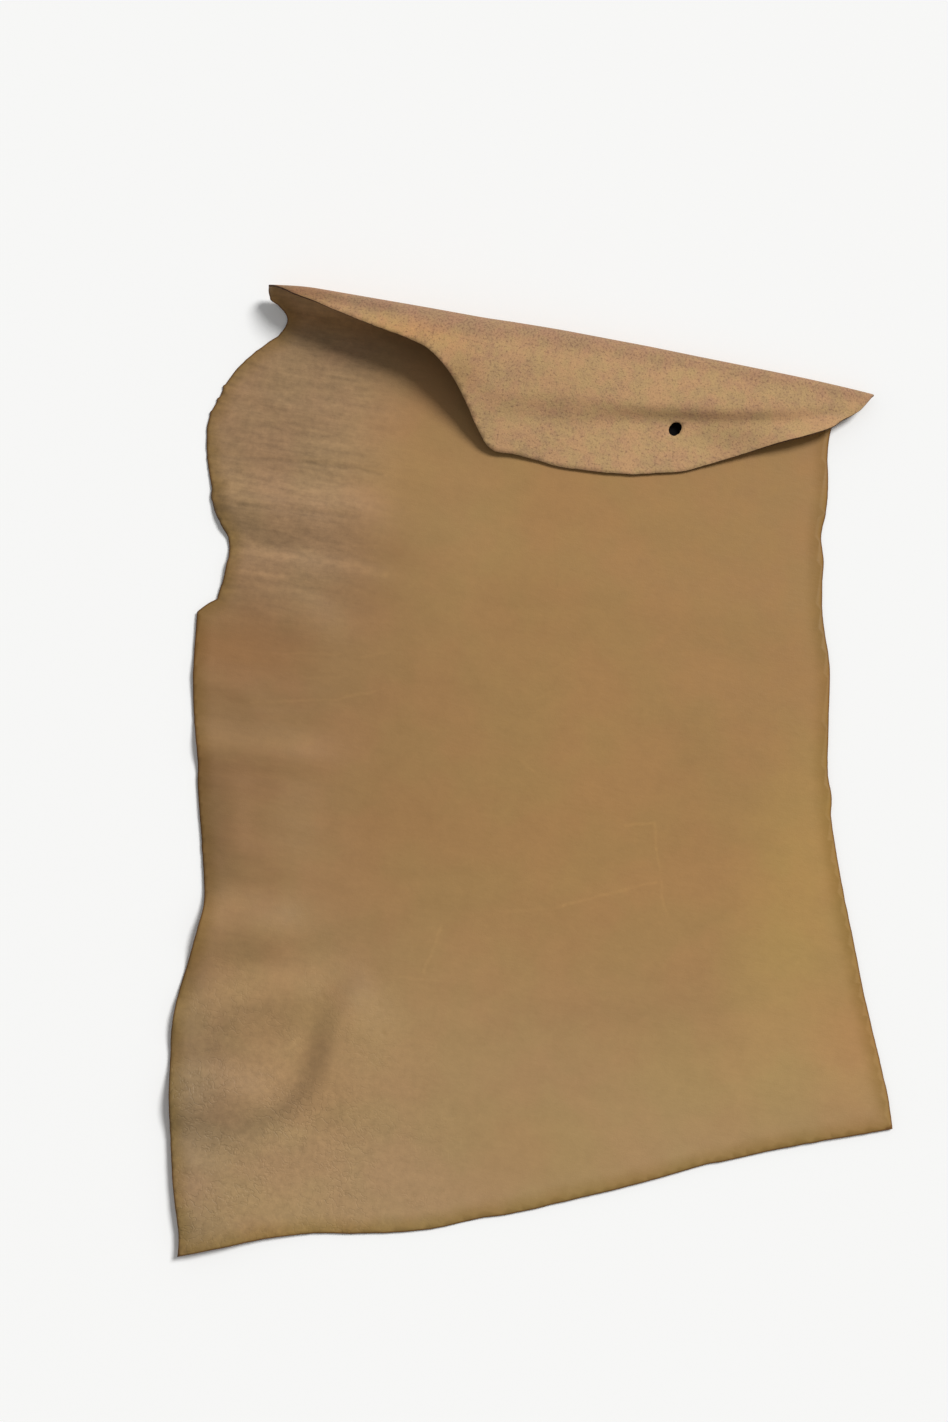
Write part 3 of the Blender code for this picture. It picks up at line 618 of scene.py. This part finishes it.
def grain_normals(flat):
    """Unit normals of the grain side at points of the flat drawing."""
    across, along = (folded(flat + step) - folded(flat - step) for step in NORMAL_STEP * np.eye(2))
    return unit(np.cross(across, along))


def grain_relief(flat):
    """Fine ridges, creases and waves of the grain side, outward from its smooth surface."""
    x, y = flat.T
    lift = lift_of(FINE_RIDGES, flat)
    near_left = way_between(x, LEFT_WAVES_END[1], LEFT_WAVES_END[0])
    near_corner = soft_step(np.hypot(x - CORNER[0], y - CORNER[1]), CORNER_REACH)
    for waves, share in ((LEFT_WAVES, near_left), (CORNER_WAVES, near_corner)):
        for wave in waves:
            lift += share * soft_noise(x, y, wave)
    return lift


def tint_of(flat):
    """What the broad marks and the stains, with the painted light and shade among both, multiply the colour
    by.
    """
    x, y = flat.T
    tint = np.ones((len(flat), 3))
    waves = 1 + soft_noise(x, y, TINT_WAVES)
    for mark in BROAD_MARKS_AND_PAINTED_LIGHT:
        near = soft_step(beside(flat, smooth_curve(mark.route, ROUTE_DETAIL))[0], mark.reach)
        tint *= 1 + (mark.tone * near * waves)[:, None]
    for stain_or_light in STAINS_AND_PAINTED_LIGHT:
        near = soft_step(np.linalg.norm((flat - stain_or_light.middle) / (stain_or_light.along, stain_or_light.across), axis=1), 1)
        tint *= 1 + near[:, None] * (np.array(stain_or_light.tint) - 1)
    return tint


def stretched(flat):
    """The flat drawing with the bend and the flap drawn out, so that mesh steps there are a whole cell."""
    start, radius, _, _ = along_fold(flat[:, 0])
    past_start = flat[:, 1] - start
    half_turn = math.pi * radius
    on_bend = np.clip(past_start / half_turn, 0, 1) * BEND_STEPS * CELL
    on_flap = np.maximum(past_start - half_turn, 0) * CELL / FLAP_STEP
    return np.column_stack([flat[:, 0], np.minimum(past_start, 0) + on_bend + on_flap])


def worn(close, number, rough):
    """Moves the close points of a side in and out, as an uneven cut with a few torn points."""
    gone = way_along(close)
    way = unit(np.gradient(close, axis=0))
    outward = np.column_stack([way[:, 1], -way[:, 0]])
    offset = np.zeros_like(gone)
    for size, share in ROUGH_LENGTHS:
        offset += soft_noise(gone, number, Wave(size, 1, rough * share, number))
    if number == TORN_SIDE:
        for place, reach, half_width in TEARS:
            offset += reach * np.clip(1 - np.abs(gone - place * gone[-1]) / half_width, 0, 1)
    ends = np.clip(np.minimum(gone, gone[-1] - gone) / RIM_STEP, 0, 1)
    return close + outward * (offset * ends)[:, None]


def cut_edge():
    """The hide's outline on the flat drawing, one step apart after stretching."""
    outline = []
    for number, side in enumerate(SIDES):
        close = worn(smooth_curve(side.points, SIDE_DETAIL), number, side.rough)
        gone = way_along(stretched(close))
        steps = max(1, round(gone[-1] / RIM_STEP))
        places = np.arange(steps) * gone[-1] / steps
        outline.append(np.column_stack([np.interp(places, gone, close[:, i]) for i in (0, 1)]))
    return np.vstack(outline)


def hole_edge():
    """The hole's outline on the flat drawing."""
    sides = np.arange(HOLE_SIDES)
    turns = sides * 2 * math.pi / HOLE_SIDES
    ragged = 1 + soft_noise(sides, 0, HOLE_WAVES)
    across = HOLE_HALF_SIZE[0] * np.cos(turns) * ragged
    along = HOLE_HALF_SIZE[1] * np.sin(turns) * ragged
    x = HOLE_CENTRE[0] + across * math.cos(HOLE_LEAN) - along * math.sin(HOLE_LEAN)
    y = HOLE_CENTRE[1] + across * math.sin(HOLE_LEAN) + along * math.cos(HOLE_LEAN)
    return np.column_stack([x, y])


def inside(points, outline):
    """Which points lie inside a closed outline."""
    x, y = points.T
    crossings = np.zeros(len(points), int)
    for (start_x, start_y), (end_x, end_y) in zip(outline, np.roll(outline, -1, axis=0)):
        if start_y == end_y:
            continue
        crosses = (start_y > y) != (end_y > y)
        at = start_x + (y - start_y) / (end_y - start_y) * (end_x - start_x)
        crossings += crosses & (x < at)
    return crossings % 2 == 1


def on_hide(points, outlines):
    """Which points lie inside the first outline and outside the others."""
    kept = inside(points, outlines[0])
    for hole in outlines[1:]:
        kept &= ~inside(points, hole)
    return kept


def distance_to(points, outlines):
    """How far points lie from the outlines' own points."""
    marks = np.vstack(outlines)
    tree = kdtree.KDTree(len(marks))
    for number, mark in enumerate(marks):
        tree.insert((*mark, 0), number)
    tree.balance()
    return np.array([tree.find((*point, 0))[2] for point in points])


def thickened(outline):
    """An outline with points added between its own."""
    steps = np.roll(outline, -1, axis=0) - outline
    return np.vstack([outline + steps * part / RIM_PARTS for part in range(RIM_PARTS)])


def grid_points(outline):
    """Points in rows along the fold. Where the hide is even, only every second one of each row is used."""
    numbers = np.arange(math.floor(outline[:, 0].min() / CELL), math.ceil(outline[:, 0].max() / CELL) + 1)
    body_rows = math.ceil(-outline[:, 1].min() / CELL)
    flap_rows = math.ceil(outline[:, 1].max() / FLAP_STEP)
    x = numbers * CELL
    start, radius, _, _ = along_fold(x)
    plain = numbers % PLAIN_CELLS == 0
    rows = []
    for row in range(1, body_rows):
        points = np.column_stack([x, start - CELL * row])
        uneven = (x < UNEVEN_END) | (lift_of(RIDGES, points) > 0)
        rows.append(points[uneven | (plain & (row % PLAIN_CELLS == 0))])
    x, start, radius = x[plain], start[plain], radius[plain]
    top = start + math.pi * radius
    for step in range(BEND_STEPS + 1):
        rows.append(np.column_stack([x, start + (top - start) * step / BEND_STEPS]))
    for step in range(1, flap_rows + 1):
        rows.append(np.column_stack([x, top + FLAP_STEP * step]))
    return np.vstack(rows)


def triangles_of(outlines, points):
    """Triangles that fill the first outline, leave the others open, and use every point."""
    corners = np.vstack([*outlines, points])
    edges = []
    first = 0
    for outline in outlines:
        count = len(outline)
        edges += [(first + i, first + (i + 1) % count) for i in range(count)]
        first += count
    _, _, faces, origins, _, _ = delaunay_2d_cdt([tuple(c) for c in corners], edges, [], 0, SAME_POINT)
    faces = np.array([[origins[corner][0] for corner in face] for face in faces])
    return faces[on_hide(corners[faces].mean(axis=1), outlines)]


def rim_of(faces):
    """The edges that only one triangle has, each in that triangle's direction."""
    ends = np.concatenate([faces[:, [0, 1]], faces[:, [1, 2]], faces[:, [2, 0]]])
    taken = {tuple(end) for end in ends.tolist()}
    return np.array([end for end in ends.tolist() if (end[1], end[0]) not in taken])


def flat_hide():
    """The flat drawing: its outlines, all its points with the outlines' own first, and its triangles."""
    outlines = [cut_edge(), hole_edge()]
    drawn_outlines = [stretched(outline) for outline in outlines]
    grid = grid_points(outlines[0])
    drawn = stretched(grid)
    kept = on_hide(drawn, drawn_outlines)
    grid, drawn = grid[kept], drawn[kept]
    kept = distance_to(drawn, [thickened(o) for o in drawn_outlines]) > CLEAR_OF_RIM * CELL
    return outlines, np.vstack([*outlines, grid[kept]]), triangles_of(drawn_outlines, drawn[kept])


def rim_outward(rim, on_rim, middle, normals):
    """The way out of the leather at each rim point, square to the cut edge."""
    before, after = dict(rim[:, ::-1].tolist()), dict(rim.tolist())
    way = np.array([middle[after[corner]] - middle[before[corner]] for corner in on_rim.tolist()])
    return unit(np.cross(way, normals[on_rim]))


def rim_faces(rim, on_rim, count):
    """The cut edge's faces, from the grain side's rim over the rows between to the flesh side's rim."""
    between = 2 * count + np.arange((RIM_ROWS - 1) * len(on_rim)).reshape(RIM_ROWS - 1, -1)
    rings = np.vstack([on_rim, between, on_rim + count]).tolist()
    faces = []
    for a, b in np.searchsorted(on_rim, rim).tolist():
        for ring, next_ring in zip(rings, rings[1:]):
            faces.append([ring[b], ring[a], next_ring[a], next_ring[b]])
    return faces


def add_values(mesh, name, values):
    """Gives each point of the mesh its own number or vector, which the materials read by name."""
    kind, field = ("FLOAT", "value") if values.ndim == 1 else ("FLOAT_VECTOR", "vector")
    mesh.attributes.new(name, kind, "POINT").data.foreach_set(field, values.ravel())


GRAIN, FLESH, CUT = range(3)  # the mesh's material slots


def hide_mesh():
    """The hide's closed surface: grain skin, flesh skin, and the rounded cut edges between them."""
    outlines, flat, skin = flat_hide()
    middle, normals = folded(flat), grain_normals(flat)
    grain = middle + normals * (LAYER_MIDDLE + grain_relief(flat))[:, None]
    flesh = middle - normals * LAYER_MIDDLE
    rim = rim_of(skin)
    on_rim = np.unique(rim)
    outward = rim_outward(rim, on_rim, middle, normals)
    rows = []
    for row in range(1, RIM_ROWS):
        share = row / RIM_ROWS
        bulge = RIM_BULGE * math.sin(math.pi * share)
        rows.append(grain[on_rim] * (1 - share) + flesh[on_rim] * share + outward * bulge)

    cut_faces = rim_faces(rim, on_rim, len(flat))
    faces = skin.tolist() + (skin[:, ::-1] + len(flat)).tolist() + cut_faces
    mesh = bpy.data.meshes.new("hide")
    mesh.from_pydata(np.vstack([grain, flesh, *rows]).tolist(), [], faces)
    materials = [GRAIN] * len(skin) + [FLESH] * len(skin) + [CUT] * len(cut_faces)
    mesh.polygons.foreach_set("material_index", materials)
    mesh.shade_smooth()

    flats = np.vstack([flat, flat] + [flat[on_rim]] * len(rows))
    add_values(mesh, "flat", np.column_stack([flats, np.zeros(len(flats))]))
    add_values(mesh, "tint", tint_of(flats))
    rim_distance = distance_to(flat, [thickened(o) for o in outlines])
    add_values(mesh, "rim", np.concatenate([rim_distance] * 2 + [np.zeros(len(on_rim))] * len(rows)))
    start, radius, _, _ = along_fold(flats[:, 0])
    add_values(mesh, "past_top", flats[:, 1] - start - math.pi * radius)
    return mesh


# ---------------------------------------------------------------- materials

MIX_FACTOR, MIX_A, MIX_B, MIX_RESULT = 0, 6, 7, 2  # a colour Mix node's sockets


class Nodes:
    """A material and short calls that add nodes to it. Inputs are numbers or other nodes' sockets."""

    def __init__(self, name):
        self.material = bpy.data.materials.new(name)
        self.material.use_nodes = True
        self.tree = self.material.node_tree
        self.shader = self.tree.nodes["Principled BSDF"]

    def put(self, socket, value):
        if isinstance(value, bpy.types.NodeSocket):
            self.tree.links.new(value, socket)
        else:
            socket.default_value = value

    def add(self, kind, inputs, **settings):
        node = self.tree.nodes.new("ShaderNode" + kind)
        for name, value in settings.items():
            setattr(node, name, value)
        for name, value in inputs.items():
            self.put(node.inputs[name], value)
        return node

    def attribute(self, name, output):
        return self.add("Attribute", {}, attribute_name=name).outputs[output]

    def flat_place(self):
        """The place on the flat drawing, then its x and its y."""
        flat = self.attribute("flat", "Vector")
        sides = self.add("SeparateXYZ", {0: flat}).outputs
        return flat, sides["X"], sides["Y"]

    def math(self, operation, *values, clamp=False):
        return self.add("Math", dict(enumerate(values)), operation=operation, use_clamp=clamp).outputs[0]

    def vector(self, operation, *values, output="Vector"):
        return self.add("VectorMath", dict(enumerate(values)), operation=operation).outputs[output]

    def ramp(self, value, low, high, to_low=0, to_high=1):
        """value's way from low to high, smoothed, as a way from to_low to to_high."""
        inputs = {"Value": value, "From Min": low, "From Max": high, "To Min": to_low, "To Max": to_high}
        return self.add("MapRange", inputs, interpolation_type="SMOOTHSTEP").outputs["Result"]

    def noise(self, place, kind):
        inputs = {"Vector": place, "Scale": kind.scale, "Detail": kind.detail, "Roughness": kind.roughness}
        return self.add("TexNoise", inputs).outputs["Fac"]

    def streaks(self, place, kind):
        sizes = {"Vector": place, "Scale": (kind.along, kind.across, 1)}
        counted = self.add("Mapping", sizes, vector_type="TEXTURE").outputs["Vector"]
        return self.noise(counted, Noise(1, kind.detail, kind.roughness))

    def distance(self, first, second):
        return self.vector("DISTANCE", first, second, output="Value")

    def uneven(self, tone, noise, strength):
        """A tone with a noise added, of a strength that isn't the same all over."""
        return self.math("MULTIPLY_ADD", self.math("SUBTRACT", noise, 0.5), strength, tone)

    def mix(self, factor, first, second):
        node = self.add("Mix", {MIX_FACTOR: factor, MIX_A: first, MIX_B: second}, data_type="RGBA")
        return node.outputs[MIX_RESULT]

    def times(self, colour, tone):
        return self.add("VectorMath", {0: colour, "Scale": tone}, operation="SCALE").outputs[0]

    def product(self, first, second):
        return self.vector("MULTIPLY", first, second)

    def shaken(self, place, scale, size):
        """A place moved a little to and fro, so that what follows it is uneven."""
        shift = self.add("TexNoise", {"Vector": place, "Scale": scale, "Detail": 2}).outputs["Color"]
        shift = self.vector("SUBTRACT", shift, (0.5, 0.5, 0.5))
        return self.vector("MULTIPLY_ADD", shift, (size, size, 0), place)

    def near_route(self, place, route, reach):
        """1 on a route of points, falling smoothly to 0 at the reach."""
        nearest = None
        for start, end in zip(route, route[1:]):
            way = Vector((end[0] - start[0], end[1] - start[1], 0))
            offset = self.vector("SUBTRACT", place, (*start, 0))
            share = self.vector("DOT_PRODUCT", offset, way / way.length_squared, output="Value")
            share = self.math("ADD", share, 0, clamp=True)
            gap = self.distance(offset, self.times(way, share))
            nearest = gap if nearest is None else self.math("MINIMUM", nearest, gap)
        return self.ramp(nearest, reach, 0)

    def bump(self, height, distance, normal=None):
        inputs = {"Height": height, "Distance": distance}
        if normal is not None:
            inputs["Normal"] = normal
        return self.add("Bump", inputs).outputs["Normal"]

    def finish(self, **inputs):
        """Sets the shader's sockets, whose names have spaces where these have underscores."""
        for name, value in inputs.items():
            self.put(self.shader.inputs[name.replace("_", " ")], value)
        return self.material


def grain_leather():
    """Semi-matt taupe leather: cloudy colour, scratches, a browner edge and a fine pebbled grain."""
    n = Nodes("grain")
    flat, x, y = n.flat_place()
    rim = n.attribute("rim", "Fac")
    upper_left = n.math("MULTIPLY", n.ramp(x, *GREY_ACROSS), n.ramp(y, *GREY_DOWN))
    corner = n.ramp(n.distance(flat, (*CORNER, 0)), *CORNER_LOOSE)
    colour = n.mix(n.ramp(x, *TO_RIGHT), GRAIN_LEFT, GRAIN_RIGHT)
    colour = n.mix(upper_left, colour, GRAIN_GREY)
    colour = n.mix(n.ramp(y, *TO_LOW), colour, GRAIN_LOW)

    mottle = n.noise(flat, MOTTLE)
    patches = n.math("MULTIPLY", corner, n.ramp(n.noise(flat, VEIN_PATCHES), *VEIN_PATCH_RANGE))
    winding = n.noise(n.shaken(flat, *VEIN_SHAKE), VEINS)
    off_vein = n.math("ABSOLUTE", n.math("SUBTRACT", winding, 0.5))
    veins = n.math("MULTIPLY", n.ramp(off_vein, VEIN_WIDTH, 0), patches)

    layers = (
        (n.noise(flat, CLOUDS), CLOUDS),
        (mottle, MOTTLE),
        (n.streaks(flat, BANDS), BANDS),
        (n.noise(flat, PORES), PORES),
    )
    tone = 1 - sum(kind.tone for _, kind in layers) / 2
    for noise, kind in layers:
        tone = n.math("MULTIPLY_ADD", noise, kind.tone, tone)
    tone = n.math("MULTIPLY_ADD", veins, VEINS.tone, tone)
    tone = n.uneven(tone, n.streaks(flat, STREAKS), n.ramp(x, *STREAK_TONES))
    loose = n.math("MULTIPLY_ADD", upper_left, FINE_STREAKS_UPPER_LEFT, n.ramp(x, *FINE_STREAK_TONES))
    tone = n.uneven(tone, n.streaks(flat, FINE_STREAKS), loose)
    rough = n.math("MULTIPLY_ADD", corner, GRAINS_CORNER, GRAINS_TONE)
    rough = n.math("MULTIPLY_ADD", upper_left, GRAINS_UPPER_LEFT, rough)
    tone = n.uneven(tone, n.noise(flat, GRAINS), rough)
    place = n.shaken(flat, *MARK_SHAKE)
    broken = n.ramp(n.noise(flat, MARK_GAPS), *MARK_GAP_RANGE)
    # scratches and fine lines, and painted shade along the floors of creases
    for mark in FINE_MARKS_AND_CREASE_SHADE:
        strength = n.math("MULTIPLY", broken, mark.tone)
        tone = n.math("MULTIPLY_ADD", n.near_route(place, mark.route, mark.reach), strength, tone)

    colour = n.product(n.times(colour, tone), n.attribute("tint", "Vector"))
    cast = n.ramp(n.noise(flat, GRAIN_CASTS), *GRAIN_CAST_RANGE)
    colour = n.product(colour, n.mix(cast, GRAIN_PINK, GRAIN_OLIVE))
    uneven_rim = n.math("MULTIPLY_ADD", mottle, EDGE_UNEVEN, n.math("SUBTRACT", rim, EDGE_UNEVEN / 2))
    colour = n.mix(n.ramp(uneven_rim, GRAIN_EDGE_REACH, 0), colour, n.product(colour, GRAIN_EDGE))
    # a dark line right at the cut edge: partly the edge's darker colour, partly painted shadow of the edge
    colour = n.mix(n.ramp(rim, EDGE_LINE_REACH, EDGE_LINE_FULL), colour, n.product(colour, EDGE_LINE))
    # painted shade: the body below the hole in the flap is darkened, so that the hole looks black
    from_hole = n.distance(flat, (*PAINTED_SHADE_UNDER_HOLE, 0))
    colour = n.times(colour, n.ramp(from_hole, *PAINTED_SHADE_UNDER_HOLE_REACH))

    pebbles = n.add("TexVoronoi", {"Vector": flat, "Scale": PEBBLES}).outputs["Distance"]
    normal = n.bump(n.streaks(flat, WRINKLES), WRINKLE_BUMP)
    normal = n.bump(veins, VEIN_BUMP, normal)
    normal = n.bump(pebbles, PEBBLE_BUMP, normal)
    # the painted shade below the hole is also made matt, so that it shows no glint
    matt_under_painted_shade = n.ramp(from_hole, *PAINTED_SHADE_UNDER_HOLE_REACH[::-1])
    roughness = n.math("MAXIMUM", n.ramp(mottle, *GRAIN_ROUGHNESS), matt_under_painted_shade)
    return n.finish(Base_Color=colour, Roughness=roughness, Normal=normal, Specular_IOR_Level=0.30)


def flesh_leather():
    """The hide's nappy inner side: tan, with brown clouds and fine dark specks, and painted shade along the
    fold.
    """
    n = Nodes("flesh")
    flat, x, y = n.flat_place()
    # painted shade in a band along the fold, which also browns the flesh and has more specks
    fold_shade = n.ramp(n.attribute("past_top", "Fac"), n.ramp(x, *BAND_END), BAND_FULL)
    clouds = n.noise(flat, FLESH_CLOUDS)
    mottle = n.math("MULTIPLY", n.noise(flat, FLESH_MOTTLE), BROWN_MOTTLE)
    brown = n.math("MULTIPLY_ADD", clouds, BROWN_CLOUDS, mottle)
    brown = n.math("MULTIPLY_ADD", fold_shade, FOLD_SHADE_BROWN, brown)
    colour = n.mix(n.ramp(brown, *BROWN_RANGE), FLESH_TAN, FLESH_BROWN)
    cast = n.ramp(n.noise(flat, FLESH_CASTS), *FLESH_CAST_RANGE)
    colour = n.product(colour, n.mix(cast, FLESH_PINK, FLESH_OLIVE))

    dense = n.math("MULTIPLY_ADD", fold_shade, SPECKS_IN_BAND, n.math("MULTIPLY", clouds, SPECKS_IN_CLOUDS))
    specks = n.ramp(n.math("ADD", n.noise(flat, SPECKS), dense), *SPECK_RANGE)
    colour = n.mix(n.math("MULTIPLY", specks, SPECK_DARK), colour, FLESH_DARK)
    colour = n.mix(n.math("MULTIPLY", fold_shade, FOLD_SHADE_DARK), colour, FLESH_DARK)
    fibres = n.noise(flat, FIBRES)
    colour = n.times(colour, n.math("MULTIPLY_ADD", fibres, FIBRES.tone, FIBRES_DARKEST))
    tinted = n.product(colour, n.attribute("tint", "Vector"))
    colour = n.mix(n.ramp(y, *TINTED_FLESH), colour, tinted)

    normal = n.bump(n.noise(flat, NAP), NAP_BUMP)
    normal = n.bump(fibres, FIBRE_BUMP, normal)
    return n.finish(Base_Color=colour, Roughness=0.92, Normal=normal, Specular_IOR_Level=0.15,
                    Sheen_Weight=0.12, Sheen_Roughness=0.6, Sheen_Tint=(1.0, 0.80, 0.62, 1))


def cut_leather():
    """The fibrous cut edge, darker than both sides."""
    n = Nodes("cut_edge")
    fibres = n.noise(n.attribute("flat", "Vector"), CUT_FIBRES)
    colour = n.mix(n.ramp(fibres, *CUT_RANGE), CUT_DARK, CUT_LIGHT)
    normal = n.bump(fibres, CUT_BUMP)
    return n.finish(Base_Color=colour, Roughness=0.85, Normal=normal, Specular_IOR_Level=0.2)


# ---------------------------------------------------------------- scene


def put_in(name, data):
    thing = bpy.data.objects.new(name, data)
    bpy.context.scene.collection.objects.link(thing)
    return thing


def make_hide():
    hide = put_in("hide", hide_mesh())
    for material in (grain_leather(), flesh_leather(), cut_leather()):
        hide.data.materials.append(material)
    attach(hide, "root")
    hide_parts("leather_hide")


def make_floor():
    mesh = bpy.data.meshes.new("floor")
    corners = [(FLOOR_HALF * side, FLOOR_HALF * end, 0) for side, end in ((-1, -1), (1, -1), (1, 1), (-1, 1))]
    mesh.from_pydata(corners, [], [(0, 1, 2, 3)])
    floor = put_in("floor", mesh)
    floor.location.z = -FLOOR_DROP
    n = Nodes("floor")
    mesh.materials.append(n.finish(Base_Color=FLOOR, Roughness=0.9))


def make_camera():
    data = bpy.data.cameras.new("camera")
    data.lens = LENS
    data.sensor_width = SENSOR
    camera = put_in("camera", data)
    camera.location = CAMERA_PLACE
    camera.rotation_euler = (CAMERA_TILT, 0, CAMERA_TURN)
    bpy.context.scene.camera = camera


def make_light():
    data = bpy.data.lights.new("key", "SUN")
    data.energy = KEY_STRENGTH
    data.angle = KEY_WIDTH
    key = put_in("key", data)
    across = math.cos(KEY_HEIGHT)
    key.location = (across * math.cos(KEY_TURN), across * math.sin(KEY_TURN), math.sin(KEY_HEIGHT))
    key.rotation_euler = (-key.location).to_track_quat("-Z", "Y").to_euler()
    world = bpy.data.worlds.new("studio")
    world.use_nodes = True
    background = world.node_tree.nodes["Background"]
    background.inputs["Color"].default_value = (1, 1, 1, 1)
    background.inputs["Strength"].default_value = FILL
    bpy.context.scene.world = world
    bpy.context.scene.view_settings.view_transform = "Standard"


make_hide()
make_floor()
make_camera()
make_light()
